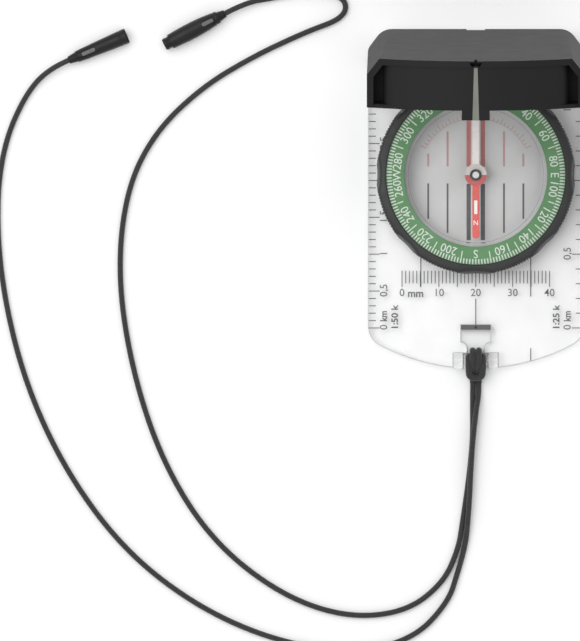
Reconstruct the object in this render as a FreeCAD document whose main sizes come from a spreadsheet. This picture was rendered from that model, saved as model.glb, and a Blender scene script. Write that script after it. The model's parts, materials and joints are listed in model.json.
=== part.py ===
import FreeCAD, Part
import math
import os
import re

import Sketcher

# Baseplate compass with a hinged mirror lid and a neck lanyard, in millimetres.
# +Z is up, +Y runs from the lanyard end to the lid hinge, and the origin is on
# the dial's axis at the underside that lies on the map. The lid stands open.

SIZES = {
    # baseplate
    "base_width": 58.5, "base_thick": 2.5, "base_north": 30.4,
    "edge_radius": 56.4, "edge_centre": 3.8, "corner_radius": 6.0, "end_radius": 3.0,
    "dial_hole": 22.0, "recess_radius": 23.1, "recess_deep": 1.0,
    "slot_half": 4.0, "slot_north": 40.7, "slot_south": 45.3, "slot_round": 1.7,
    "neck_half": 2.25, "gap_half": 3.4, "gap_north": 48.4,
    "catch_deep": 1.3, "catch_low": 0.5,
    "boss_radius": 2.15, "boss_wide": 2.7, "bar_radius": 1.0, "bar_south": 50.45, "bar_high": 2.7,
    # hinge
    "hinge_north": 31.5, "hinge_high": 8.1, "lid_open": 83.3,
    "ear_outer": 27.2, "ear_wide": 4.0, "ear_radius": 2.0, "ear_deep": 2.6,
    "pin_radius": 0.9, "pin_play": 0.05, "pin_outer": 29.1,
    # lid, measured from the hinge axis
    "lid_half": 29.25, "lid_top": 8.05, "lid_rim": 5.35, "lid_reach": 75.6, "lid_back": 0.6,
    "lid_wall": 1.75, "lid_arc": 57.0, "chamfer_slope": 0.75, "chamfer_back": 5.4, "chamfer_free": 4.4,
    "end_inset": 0.4, "end_wall": 1.4, "end_half": 24.8, "end_round": 4.6, "end_return": 15.0,
    "pocket_wall": 1.0,
    "crest_back": 5.0, "crest_free": 0.6, "side_back": 3.0, "side_free": 0.4,
    "tab_half": 3.75, "tab_drop": 7.95, "lobe_radius": 2.0,
    "sight_half": 1.7, "sight_foot": 1.15, "sight_skin": 0.45, "sight_floor": 0.25, "sight_long": 4.0,
    "sight_mark": 0.35,
    "notch_half": 2.5, "notch_deep": 0.6, "notch_long": 2.5,
    "strip_top": 0.48, "strip_low": 0.9, "strip_thick": 0.5, "strip_proud": 0.08, "strip_high": 6.5,
    "mirror_half": 24.0, "mirror_thick": 1.2, "mirror_near": 7.0, "mirror_far": 60.0,
    "mirror_round": 4.0,
    # dial and capsule
    "bezel_radius": 27.0, "bezel_low": 2.7, "bezel_high": 9.2, "bezel_edge": 0.8,
    "lip_radius": 24.3, "seat_radius": 24.6, "flange_high": 4.4,
    "scoop_radius": 20.0, "scoop_low": 0.25, "scoop_high": 1.05,
    "spring_inner": 23.8, "spring_outer": 24.6, "spring_deep": 0.8, "spring_low": 2.6,
    "dial_inner": 19.4, "dial_low": 7.6, "dial_high": 8.4,
    "cup_radius": 21.93, "cup_inner": 20.4, "cup_floor": 1.3,
    "ring_groove": 21.2, "ring_outer": 22.8, "ring_low": 0.3, "ring_thick": 0.5, "ring_gap": 3.0,
    "dome_rim": 20.35, "dome_low": 6.4, "dome_high": 9.5, "dome_plug": 19.2, "dome_wall": 1.2,
    "dome_room": 18.1, "dome_chamfer": 0.9,
    "dial_plate": 20.2, "plate_thick": 0.3, "plate_hole": 1.5,
    # needle
    "post_base": 1.4, "post_foot": 0.6, "post_radius": 0.45, "post_high": 4.9, "point_high": 5.4,
    "blade_low": 5.5, "blade_thick": 0.4, "blade_reach": 17.2, "blade_half": 0.95,
    "blade_round": 0.8, "blade_disc": 3.0,
    "jewel_radius": 0.9, "jewel_high": 6.5, "jewel_cup": 0.62, "jewel_play": 0.06,
    "hub_radius": 1.6, "hub_thick": 0.5,
    "magnet_reach": 9.4, "magnet_half": 0.8, "magnet_thick": 1.0, "magnet_boss": 2.4,
    "magnet_hole": 1.2,
    # lanyard
    "cord_radius": 0.75,
    "hitch_play": 0.08, "hitch_inner": 1.6, "hitch_half": 2.65,
    "hitch_block_north": 48.75, "hitch_block_south": 54.4, "hitch_end": 55.9, "hitch_end_half": 1.9,
    "hitch_low": 0.1, "hitch_top": 4.9, "hitch_end_top": 3.1,
    "spigot_long": 18.6, "spigot_tip": 1.6, "spigot_tip_long": 1.8, "spigot_body": 2.2,
    "spigot_tail": 1.55, "socket_long": 17.2, "socket_mouth": 2.05, "socket_bore": 1.65,
    "socket_depth": 3.0, "socket_tail": 1.5, "tail_cone": 2.4, "tail_end": 0.85,
}

# The strands' routes: x, y and height of each point, from the hitch to the connector.
LEFT_ROUTE = [
    (-0.8, -55.9, 0.85), (-0.85, -63.0, 0.85), (-0.8, -70.0, 0.85), (-1.25, -76.5, 0.85),
    (-2.1, -84.0, 0.85), (-3.4, -93.0, 0.85), (-4.7, -101.5, 0.85), (-9.0, -111.0, 0.85),
    (-19.5, -118.8, 0.85), (-36.0, -120.0, 0.85), (-54.0, -113.3, 0.85), (-72.0, -98.8, 0.85),
    (-85.0, -78.0, 0.85), (-93.3, -53.0, 0.85), (-97.2, -27.0, 0.85), (-94.8, -4.0, 0.85),
    (-87.0, 11.7, 0.85), (-74.0, 24.0, 0.85), (-60.5, 32.0, 0.85), (-50.0, 37.0, 0.85),
    (-43.6, 39.7, 0.85), (-39.2, 41.3, 0.85), (-36.5, 42.9, 0.85), (-35.2, 44.9, 0.85),
    (-35.6, 47.2, 0.85), (-37.6, 48.6, 0.85), (-41.4, 49.2, 0.85), (-48.0, 49.3, 0.85),
    (-55.8, 47.9, 1.0), (-62.4, 46.7, 2.25), (-68.0, 43.8, 2.25),
]
RIGHT_ROUTE = [
    (0.8, -55.9, 0.85), (0.8, -57.9, 0.85), (0.65, -60.4, 1.62), (0.2, -63.3, 2.42),
    (-0.3, -67.2, 2.42), (-0.8, -72.0, 2.42), (-1.2, -77.5, 2.42), (-1.5, -83.0, 2.4),
    (-1.75, -88.5, 2.2), (-2.2, -94.5, 1.65), (-2.75, -100.0, 0.9), (-4.8, -107.5, 0.85),
    (-7.5, -116.0, 0.85), (-17.0, -126.0, 0.85), (-34.0, -130.0, 0.85), (-56.0, -126.0, 0.85),
    (-77.0, -116.3, 0.85), (-96.0, -101.2, 0.85), (-111.5, -80.0, 0.85), (-122.5, -56.0, 0.85),
    (-128.7, -30.0, 0.85), (-130.1, -7.0, 0.85), (-127.7, 9.5, 0.85), (-121.8, 22.4, 0.95),
    (-115.6, 28.9, 2.1), (-110.4, 31.1, 2.1),
]

SPARE_CELL = "D1"
WHOLE_TURN = 360
SIDES = {"left": -1, "right": 1}

doc = FreeCAD.newDocument("baseplate_compass")
sheet = doc.addObject("Spreadsheet::Sheet", "Sizes")
nodes = []


def fill_sheet():
    """Write each size in a cell of its own, with its name as the cell's alias."""
    for row, (name, value) in enumerate(SIZES.items(), start=1):
        sheet.set(f"A{row}", name)
        sheet.set(f"B{row}", str(value))
        sheet.setAlias(f"B{row}", name)
    doc.recompute()


def linked(text):
    """An expression on the sheet's names, as an object outside the sheet writes it."""
    return re.sub(r"[a-z]+_\w+", lambda found: "Sizes." + found.group(0), text)


def number(text):
    """The present value of an expression on the sheet's names."""
    sheet.set(SPARE_CELL, "=" + text)
    sheet.recompute()
    return float(sheet.get(SPARE_CELL))


def bind(piece, sizes):
    """Bind each named property of a piece to an expression."""
    for name, text in sizes.items():
        piece.setExpression(name, linked(text))
    return piece


def place(piece, x="0", y="0", z="0", turn=None):
    """Put a piece at x, y, z, turned first by turn, an (axis, degrees) pair."""
    if turn:
        piece.Placement.Rotation = FreeCAD.Rotation(FreeCAD.Vector(*turn[0]), turn[1])
    return bind(piece, {"Placement.Base.x": x, "Placement.Base.y": y, "Placement.Base.z": z})


def box(name, x, y, z):
    """A box from three (low, high) pairs of expressions."""
    piece = doc.addObject("Part::Box", name)
    spans = {"Length": x, "Width": y, "Height": z}
    bind(piece, {side: f"({high}) - ({low})" for side, (low, high) in spans.items()})
    return place(piece, x[0], y[0], z[0])


def cylinder(name, radius, height, x="0", y="0", z="0", turn=None):
    piece = doc.addObject("Part::Cylinder", name)
    bind(piece, {"Radius": radius, "Height": height})
    return place(piece, x, y, z, turn)


def rod_along_x(name, radius, low, high, y, z):
    """A cylinder along X, from x = low to x = high."""
    return cylinder(name, radius, f"({high}) - ({low})", low, y, z, ((0, 1, 0), 90))


def cut(name, base, *tools):
    """Take each tool out of the base in turn."""
    result = base
    for index, tool in enumerate(tools):
        step = doc.addObject("Part::Cut", name if index == len(tools) - 1 else f"{name}_step")
        step.Base = result
        step.Tool = tool
        result = step
    return result


def fuse(name, *shapes):
    joined = doc.addObject("Part::MultiFuse", name)
    joined.Shapes = list(shapes)
    joined.Refine = True
    return joined


def common(name, *shapes):
    shared = doc.addObject("Part::MultiCommon", name)
    shared.Shapes = list(shapes)
    return shared


def fillet(name, base, radius, chosen):
    """Round the upright edges of the base whose middle satisfies chosen(x, y)."""
    doc.recompute()
    rounds = []
    for index, edge in enumerate(base.Shape.Edges, start=1):
        bounds = edge.BoundBox
        upright = bounds.ZLength > 0.1 and bounds.XLength + bounds.YLength < 0.01
        if upright and chosen(bounds.Center.x, bounds.Center.y):
            rounds.append((index, radius, radius))
    piece = doc.addObject("Part::Fillet", name)
    piece.Base = base
    piece.Edges = rounds
    return piece


def outline(sketch, corners):
    """Draw a closed outline, each corner held at two expressions across and up the sketch."""
    spots = [FreeCAD.Vector(number(across), number(up), 0) for across, up in corners]
    count = len(spots)
    for index in range(count):
        sketch.addGeometry(Part.LineSegment(spots[index], spots[(index + 1) % count]), False)
    for index in range(count):
        sketch.addConstraint(Sketcher.Constraint("Coincident", index, 2, (index + 1) % count, 1))
    for index, (across, up) in enumerate(corners):
        measures = (("DistanceX", across, spots[index].x), ("DistanceY", up, spots[index].y))
        for kind, text, value in measures:
            row = sketch.addConstraint(Sketcher.Constraint(kind, -1, 1, index, 1, value))
            sketch.setExpression(f"Constraints[{row}]", linked(text))


def body_sketch(body, plane, name, corners):
    """A sketch on one of the body's own origin planes."""
    sketch = body.newObject("Sketcher::SketchObject", name)
    support = next(item for item in body.Origin.OriginFeatures if item.Role == plane)
    sketch.AttachmentSupport = (support, [""])
    sketch.MapMode = "FlatFace"
    outline(sketch, corners)
    return sketch


def turned(name, corners):
    """A body turned about its own Z axis from a half profile of (radius, height) corners."""
    body = doc.addObject("PartDesign::Body", name)
    sketch = body_sketch(body, "XZ_Plane", name + "_profile", corners)
    turn = body.newObject("PartDesign::Revolution", name + "_turn")
    turn.Profile = sketch
    turn.ReferenceAxis = (sketch, ["V_Axis"])
    turn.Angle = WHOLE_TURN
    sketch.Visibility = False
    return body


def keep(piece, label):
    """Name a finished sub-part and list it for export."""
    piece.Label = label
    nodes.append(piece)
    return piece


# ---------------------------------------------------------------- baseplate

def base_outline():
    """The flat plate: straight sides, an arc at the lanyard end and rounded corners."""
    block = box("base_block", ("-base_width / 2", "base_width / 2"), ("-edge_radius", "base_north"),
                ("0", "base_thick"))
    arc = cylinder("base_arc", "edge_radius", "base_thick", y="edge_centre")
    blank = common("base_blank", block, arc)
    half = number("base_width / 2") - 1
    south = fillet("base_south", blank, number("corner_radius"), lambda x, y: abs(x) > half and y < 0)
    return fillet("base_corners", south, number("end_radius"), lambda x, y: abs(x) > half and y > 0)


def base_slot():
    """The latch slot, its narrow neck and the gap that the lanyard bar bridges."""
    through = ("-1", "base_thick + 1")
    wide = box("slot_wide", ("-slot_half", "slot_half"), ("-slot_south", "-slot_north"), through)
    neck = box("slot_neck", ("-neck_half", "neck_half"), ("-gap_north - 1", "-slot_south + 1"), through)
    gap = box("slot_gap", ("-gap_half", "gap_half"), ("-gap_north - 9", "-gap_north"), through)
    opening = fuse("slot_opening", wide, neck, gap)
    shoulder = number("neck_half") + 0.1
    edge = number("-slot_south")
    return fillet("slot_rounded", opening, number("slot_round"),
                  lambda x, y: abs(x) < shoulder and abs(y - edge) < 0.1)


def hinge_ears():
    """Two upright ears that hold the hinge pins."""
    ears = []
    for side, sign in SIDES.items():
        ends = ("ear_outer - ear_wide", "ear_outer") if sign > 0 else ("-ear_outer", "ear_wide - ear_outer")
        post = box(f"ear_post_{side}", ends, ("base_north - ear_deep", "base_north"), ("0", "hinge_high"))
        knuckle = rod_along_x(f"ear_knuckle_{side}", "ear_radius", *ends, "hinge_north", "hinge_high")
        ears += [post, knuckle]
    return ears


def lanyard_bosses():
    """Two rounded bosses and the raised round bar between them."""
    spot = ("-bar_south", "bar_high")
    left = rod_along_x("boss_left", "boss_radius", "-gap_half - boss_wide", "-gap_half", *spot)
    right = rod_along_x("boss_right", "boss_radius", "gap_half", "gap_half + boss_wide", *spot)
    bar = rod_along_x("lanyard_bar", "bar_radius", "-gap_half - 0.5", "gap_half + 0.5", *spot)
    return left, right, bar


def baseplate():
    slotted = cut("base_slotted", base_outline(), base_slot())
    solid = fuse("base_solid", slotted, *hinge_ears(), *lanyard_bosses())
    hole = cylinder("dial_hole_tool", "dial_hole", "base_thick + 2", z="-1")
    recess = cylinder("recess_tool", "recess_radius", "recess_deep + 1", z="-1")
    pins = rod_along_x("ear_bore_tool", "pin_radius", "-base_width", "base_width",
                       "hinge_north", "hinge_high")
    keep(cut("base_finished", solid, hole, recess, pins), "baseplate")
    south = "-slot_north - catch_deep"
    catch = box("catch_block", ("-slot_half", "slot_half"), (south, "-slot_north"),
                ("catch_low", "base_thick"))
    keep(catch, "latch_catch")


def hinge_pins():
    for side, sign in SIDES.items():
        inner = "ear_outer - ear_wide + 0.3"
        ends = (inner, "pin_outer") if sign > 0 else ("-pin_outer", f"-({inner})")
        pin = rod_along_x(f"pin_rod_{side}", "pin_radius", *ends, "hinge_north", "hinge_high")
        keep(pin, f"hinge_pin_{side}")


# ---------------------------------------------------------------- lid

def open_lid(piece, label):
    """Turn a piece drawn about the hinge axis in the closed lid to where the open lid holds it."""
    place(piece, y="hinge_north", z="hinge_high", turn=((1, 0, 0), number("-lid_open")))
    return keep(piece, label)


def lid_loft(name, inset, low):
    """The lid's section, drawn in by inset, lofted from the hinge end to beyond the free end.

    The shoulders' chamfers fall 4 for each 3 across, at both ends and when drawn in, so they stay flat.
    """
    sections = []
    for end, chamfer, along in (("hinge", "chamfer_back", "lid_back + 2"),
                                ("free", "chamfer_free", "-lid_reach - 3")):
        half = f"lid_half - {inset}"
        top = f"lid_top - {inset}"
        side = f"lid_top - {chamfer} - {inset} / 3"
        shoulder = f"lid_half - {inset} - chamfer_slope * ({chamfer} - 2 * {inset} / 3)"
        sketch = doc.addObject("Sketcher::SketchObject", f"{name}_{end}")
        place(sketch, y=along, turn=((1, 0, 0), 90))
        outline(sketch, [(f"-({half})", low), (half, low), (half, side), (shoulder, top),
                         (f"-({shoulder})", top), (f"-({half})", side)])
        sections.append(sketch)
    loft = doc.addObject("Part::Loft", name)
    loft.Sections = sections
    loft.Solid = True
    loft.Ruled = True
    return loft


def end_region(name, inset, radius):
    """What the end wall's face encloses, from inset in from the free end to past the returns."""
    tall = ("-lid_rim - 5", "lid_top + 5")
    half = f"(end_half + end_inset - ({inset}))"
    block = box(f"{name}_block", (f"-{half}", half),
                ("-lid_reach - 3", f"end_return - lid_reach + ({inset})"), tall)
    arc = cylinder(f"{name}_arc", f"lid_arc - ({inset})", "lid_top + lid_rim + 10",
                   y="lid_arc - lid_reach", z=tall[0])
    region = common(f"{name}_plan", block, arc)
    return fillet(name, region, radius, lambda x, y: y < number("end_return - lid_reach"))


def pocket_walls():
    """The floor and the rim lip that close the pockets outside the end wall's returns."""
    wide = ("-lid_half", "lid_half")
    back = "end_return - lid_reach"
    floor = box("pocket_floor", wide, (f"{back} - pocket_wall", back), ("-lid_rim - 5", "lid_top + 5"))
    lip = box("pocket_lip", wide, ("-lid_reach", back), ("-lid_rim", "pocket_wall - lid_rim"))
    arc = cylinder("pocket_arc", "lid_arc - end_inset", "lid_top + lid_rim + 10",
                   y="lid_arc - lid_reach", z="-lid_rim - 5")
    return common("pocket_walls", fuse("pocket_slabs", floor, lip), arc)


def rounded_shoulders(name, form):
    """Round the edges above and below each shoulder's chamfer, more towards the hinge end."""
    rounding = doc.addObject("Part::Fillet", name)
    rounding.Base = form
    doc.recompute()
    top, side = number("lid_top"), number("lid_half")
    edges = []
    for position, edge in enumerate(form.Shape.Edges, start=1):
        ends = [vertex.Point for vertex in edge.Vertexes]
        if len(ends) != 2 or abs(ends[0].y - ends[1].y) < 30:
            continue
        upper = all(abs(end.z - top) < 0.01 for end in ends)
        outer = all(abs(abs(end.x) - side) < 0.01 and end.z > 0 for end in ends)
        if upper or outer:
            label = "crest" if upper else "side"
            back, free = number(label + "_back"), number(label + "_free")
            first_is_back = edge.valueAt(edge.FirstParameter).y > edge.valueAt(edge.LastParameter).y
            edges.append((position, back, free) if first_is_back else (position, free, back))
    rounding.Edges = edges
    return rounding


def lid_outer():
    """The outer form: chamfered shoulders, an arc at the free end and a square hinge end."""
    arc = cylinder("lid_plan_arc", "lid_arc", "lid_top + lid_rim + 4", y="lid_arc - lid_reach",
                   z="-lid_rim - 2")
    back = box("lid_plan_back", ("-lid_half - 1", "lid_half + 1"), ("-lid_reach - 1", "lid_back"),
               ("-lid_rim - 1", "lid_top + 1"))
    form = common("lid_form", lid_loft("lid_outer_loft", "0", "-lid_rim"), arc, back)
    return rounded_shoulders("lid_rounded", form)


def standing_plate(name, corners, face, thick):
    """A flat piece across the lid with (x, height) corners, from y = face towards the free end."""
    body = doc.addObject("PartDesign::Body", name)
    sketch = body_sketch(body, "XZ_Plane", name + "_outline", corners)
    bind(sketch, {"AttachmentOffset.Base.z": f"-({face})"})
    pad = body.newObject("PartDesign::Pad", name + "_pad")
    pad.Profile = sketch
    bind(pad, {"Length": thick})
    return body


def sight_notch():
    """The sight: a tapered slot under the lid's free edge, with a fine mark above it."""
    face = "sight_long - lid_reach"
    high = "lid_top - sight_skin"
    low = "lid_top - lid_wall + sight_floor"
    slot = [("-sight_half", high), ("-sight_foot", low), ("sight_foot", low), ("sight_half", high)]
    mark = [("-sight_mark", "lid_top + 1"), ("-sight_mark", f"{high} - 0.1"),
            ("sight_mark", f"{high} - 0.1"), ("sight_mark", "lid_top + 1")]
    return fuse("sight_notch_tool", standing_plate("sight_slot_tool", slot, face, "sight_long + 2"),
                standing_plate("sight_mark_tool", mark, face, "sight_long + 2"))


def strip_form(name):
    """The tapered sighting strip, let into the end wall and a little proud of it."""
    corners = [("-strip_top", "strip_high"), ("-strip_low", "-tab_drop"),
               ("strip_low", "-tab_drop"), ("strip_top", "strip_high")]
    face = "end_inset + strip_thick - strip_proud - lid_reach"
    return standing_plate(name, corners, face, "strip_thick")


def lid_shell():
    """The deep shell: side walls, an end wall with rounded returns, tab and hinge lobes."""
    outside = end_region("lid_outside", "end_inset", number("end_round"))
    end = cut("lid_end", fuse("lid_end_block", outside, pocket_walls()),
              end_region("lid_inside", "end_inset + end_wall", number("end_round - end_wall")))
    room = cut("lid_room", lid_loft("lid_inner_loft", "lid_wall", "-lid_rim - 3"), end)
    hollow = cut("lid_hollow", lid_outer(), room)
    face = "end_inset - lid_reach"
    tab = box("lid_tab", ("-tab_half", "tab_half"), (face, f"{face} + end_wall"),
              ("-tab_drop", "0.5 - lid_rim"))
    lobes = []
    for side, sign in SIDES.items():
        ends = ("lid_half - lid_wall", "lid_half") if sign > 0 else ("-lid_half", "lid_wall - lid_half")
        lobes.append(rod_along_x(f"lid_lobe_{side}", "lobe_radius", *ends, "0", "0"))
    solid = fuse("lid_solid", hollow, tab, *lobes)
    bore = rod_along_x("lid_bore_tool", "pin_radius + pin_play", "-base_width", "base_width", "0", "0")
    notch = box("lid_notch_tool", ("-notch_half", "notch_half"),
                ("lid_back - notch_long", "lid_back + 1"), ("lid_top - notch_deep", "lid_top + 1"))
    finished = cut("lid_finished", solid, bore, notch, sight_notch(), strip_form("strip_seat"))
    open_lid(finished, "lid_shell")


def lid_fittings():
    """The sighting strip and the mirror."""
    open_lid(strip_form("strip"), "sight_strip")
    inside = "lid_top - lid_wall"
    glass = box("mirror_block", ("-mirror_half", "mirror_half"), ("-mirror_far", "-mirror_near"),
                (f"{inside} - mirror_thick", inside))
    open_lid(fillet("mirror_glass", glass, number("mirror_round"), lambda x, y: True), "lid_mirror")


# ---------------------------------------------------------------- dial and capsule

def bezel():
    """The grip ring, with eight bevelled scoops round its edge and a spring groove below."""
    groove_top = "bezel_low + spring_deep"
    corners = [("cup_radius", "bezel_low"), ("spring_inner", "bezel_low"), ("spring_inner", groove_top),
               ("spring_outer", groove_top), ("spring_outer", "bezel_low"),
               ("bezel_radius", "bezel_low"), ("bezel_radius", "bezel_high - bezel_edge"),
               ("bezel_radius - bezel_edge", "bezel_high"), ("lip_radius", "bezel_high"),
               ("lip_radius", "dial_high"), ("seat_radius", "dial_high"),
               ("seat_radius", "flange_high"), ("cup_radius", "flange_high")]
    ring = turned("bezel_blank", corners)
    scoops = []
    reach = "(bezel_radius + scoop_radius - scoop_low)"
    for angle in range(0, WHOLE_TURN, 45):
        scoop = doc.addObject("Part::Cone", f"scoop_{angle}")
        bind(scoop, {"Radius1": "scoop_radius", "Radius2": "scoop_radius + scoop_high - scoop_low",
                     "Height": "bezel_high - bezel_low + 0.4"})
        place(scoop, f"{reach} * cos({angle})", f"{reach} * sin({angle})", "bezel_low - 0.2")
        scoops.append(scoop)
    keep(cut("bezel_finished", ring, fuse("scoop_tools", *scoops)), "bezel_ring")


def ring_section(inner, outer, low, high):
    """The half profile of a plain ring."""
    return [(inner, low), (outer, low), (outer, high), (inner, high)]


def capsule():
    """The clear cup and its cover, the graduated ring, and the plate on the cup's floor."""
    ring_top = "ring_low + ring_thick"
    cup = [("0", "0"), ("cup_radius", "0"), ("cup_radius", "ring_low"), ("ring_groove", "ring_low"),
           ("ring_groove", ring_top), ("cup_radius", ring_top), ("cup_radius", "dial_low"),
           ("cup_inner", "dial_low"), ("cup_inner", "cup_floor"), ("0", "cup_floor")]
    keep(turned("cup", cup), "capsule_base")
    inside = "dome_high - dome_wall"
    dome = [("0", inside), ("dome_room", inside), ("dome_room", "dome_low"), ("dome_rim", "dome_low"),
            ("dome_rim", "dial_low"), ("dome_plug", "dial_low"), ("dome_plug", "dome_high - dome_chamfer"),
            ("dome_plug - dome_chamfer", "dome_high"), ("0", "dome_high")]
    keep(turned("dome", dome), "capsule_dome")
    keep(turned("graduated", ring_section("dial_inner", "seat_radius", "dial_low", "dial_high")),
         "dial_ring")
    keep(turned("floor_plate", ring_section("plate_hole", "dial_plate", "cup_floor",
                                            "cup_floor + plate_thick")), "orienting_plate")


def capsule_rings():
    """The flat spring under the grip ring, and the open ring that holds the cup in the plate."""
    keep(turned("drag_ring", ring_section("spring_inner", "spring_outer", "spring_low",
                                          "bezel_low + spring_deep")), "friction_spring")
    whole = turned("snap_ring", ring_section("ring_groove", "ring_outer", "ring_low",
                                             "ring_low + ring_thick"))
    gap = box("snap_gap", ("-ring_gap / 2", "ring_gap / 2"), ("0", "ring_outer + 1"), ("0", "1"))
    keep(cut("snap_ring_open", whole, gap), "retaining_ring")


# ---------------------------------------------------------------- needle

def pivot():
    corners = [("0", "cup_floor"), ("post_base", "cup_floor"), ("post_base", "cup_floor + post_foot"),
               ("post_radius", "cup_floor + post_foot"), ("post_radius", "post_high"),
               ("0", "point_high")]
    keep(turned("pivot", corners), "pivot_pin")


def needle():
    """Blade, bar magnet under it, jewel cup in its middle and a ring round the jewel."""
    blade = doc.addObject("PartDesign::Body", "blade")
    sketch = body_sketch(blade, "XY_Plane", "blade_outline",
                         [("-blade_half", "-blade_reach"), ("blade_half", "-blade_reach"),
                          ("blade_half", "blade_reach"), ("-blade_half", "blade_reach")])
    pad = blade.newObject("PartDesign::Pad", "blade_pad")
    pad.Profile = sketch
    bind(pad, {"Length": "blade_thick"})
    place(blade, z="blade_low")
    rounded = fillet("blade_rounded", blade, number("blade_round"), lambda x, y: True)
    disc = cylinder("blade_disc_blank", "blade_disc", "blade_thick", z="blade_low")
    hole = cylinder("blade_hole", "jewel_radius", "blade_thick + 2", z="blade_low - 1")
    keep(cut("blade_finished", fuse("blade_solid", rounded, disc), hole), "needle_blade")

    low = "blade_low - magnet_thick"
    bar = box("magnet_bar", ("-magnet_half", "magnet_half"), ("-magnet_reach", "magnet_reach"),
              (low, "blade_low"))
    boss = cylinder("magnet_boss_blank", "magnet_boss", "magnet_thick", z=low)
    room = cylinder("magnet_room", "magnet_hole", "magnet_thick + 2", z=f"{low} - 1")
    keep(cut("magnet_finished", fuse("magnet_solid", bar, boss), room), "needle_magnet")

    jewel = [("0", "point_high + jewel_play"), ("jewel_cup", "post_high"), ("jewel_radius", "post_high"),
             ("jewel_radius", "jewel_high"), ("0", "jewel_high")]
    keep(turned("jewel", jewel), "jewel_bearing")
    top = "blade_low + blade_thick"
    keep(turned("hub", ring_section("jewel_radius", "hub_radius", top, f"{top} + hub_thick")),
         "needle_hub")


# ---------------------------------------------------------------- lanyard

def hitch():
    """The cow hitch: two wraps round the bar, the bight across them and the strands' exit."""
    spot = ("-bar_south", "bar_high")
    hole = "(bar_radius + hitch_play)"
    wrap = rod_along_x("hitch_wrap", f"{hole} + 2 * cord_radius", "-hitch_inner", "hitch_inner", *spot)
    block = box("hitch_block", ("-hitch_half", "hitch_half"),
                ("-hitch_block_south", "-hitch_block_north"), ("hitch_low", "hitch_top"))
    end = box("hitch_exit", ("-hitch_end_half", "hitch_end_half"),
              ("-hitch_end", "1 - hitch_block_south"), ("hitch_low", "hitch_end_top"))
    bar = rod_along_x("hitch_hole_tool", hole, "-gap_half", "gap_half", *spot)
    keep(cut("hitch_finished", fuse("hitch_solid", wrap, block, end), bar), "lanyard_hitch")


def route_wire(route):
    """Straight runs joined by tangent arcs as large as the runs allow, and the arcs' radii."""
    spots = [FreeCAD.Vector(*spot) for spot in route]
    edges = []
    radii = []
    start = spots[0]
    for before, corner, after in zip(spots, spots[1:], spots[2:]):
        along = (corner - before).normalize()
        onward = (after - corner).normalize()
        half_turn = along.getAngle(onward) / 2
        trim = 0.45 * min(corner.distanceToPoint(before), corner.distanceToPoint(after))
        radius = trim / math.tan(half_turn)
        inward = (onward - along).normalize()
        middle = corner + inward * (radius / math.cos(half_turn) - radius)
        leave = corner - along * trim
        rejoin = corner + onward * trim
        edges.append(Part.LineSegment(start, leave).toShape())
        edges.append(Part.Arc(leave, middle, rejoin).toShape())
        radii.append(radius)
        start = rejoin
    edges.append(Part.LineSegment(start, spots[-1]).toShape())
    return Part.Wire(edges), radii


def cord(label, route):
    """One strand as a plain tube along its route."""
    path, radii = route_wire(route)
    radius = number("cord_radius")
    start = FreeCAD.Vector(*route[0])
    heading = FreeCAD.Vector(*route[1]) - start
    section = Part.Wire(Part.Circle(start, heading, radius).toShape())
    piece = doc.addObject("Part::Feature", label + "_tube")
    piece.Shape = path.makePipeShell([section], True, False)
    expected = math.pi * radius ** 2 * path.Length
    print(f"{label}: length {path.Length:.1f}, volume {piece.Shape.Volume / expected:.4f} of expected")
    print("  radii", " ".join(f"{value:.1f}" for value in radii))
    keep(piece, label)


def lay_along(body, route):
    """Lay a turned piece with its tail on the route's end, pointing on along the last run."""
    last = FreeCAD.Vector(*route[-1])
    heading = last - FreeCAD.Vector(*route[-2])
    body.Placement = FreeCAD.Placement(last, FreeCAD.Rotation(FreeCAD.Vector(0, 0, 1), heading))
    return body


def connectors():
    """The two halves of the release connector, drawn from the tail at height 0."""
    shoulder = "spigot_long - spigot_tip_long"
    spigot = [("0", "0"), ("tail_end", "0"), ("spigot_tail - 0.2", "tail_cone"),
              ("spigot_tail", "tail_cone + 0.2"), ("spigot_body", "spigot_long / 2"),
              ("spigot_body - 0.15", shoulder), ("spigot_tip", shoulder),
              ("spigot_tip", "spigot_long - 0.3"), ("spigot_tip - 0.3", "spigot_long"),
              ("0", "spigot_long")]
    keep(lay_along(turned("spigot", spigot), LEFT_ROUTE), "connector_spigot")
    socket = [("0", "0"), ("tail_end", "0"), ("socket_tail - 0.2", "tail_cone"),
              ("socket_tail", "tail_cone + 0.2"), ("socket_mouth", "socket_long"),
              ("socket_bore", "socket_long"), ("socket_bore", "socket_long - socket_depth"),
              ("0", "socket_long - socket_depth")]
    keep(lay_along(turned("socket", socket), RIGHT_ROUTE), "connector_socket")


# ---------------------------------------------------------------- build and write

def check():
    """Stop before anything is written if an object failed or a sub-part isn't one sound solid."""
    for item in doc.Objects:
        if {"Invalid", "Error"} & set(item.State):
            raise RuntimeError(f"{item.Name} failed: {item.State}")
    for piece in nodes:
        shape = piece.Shape
        if shape.isNull() or not shape.isValid():
            raise RuntimeError(f"{piece.Label} has no sound shape")
        if len(shape.Solids) != 1:
            raise RuntimeError(f"{piece.Label} is {len(shape.Solids)} solids")


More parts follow.
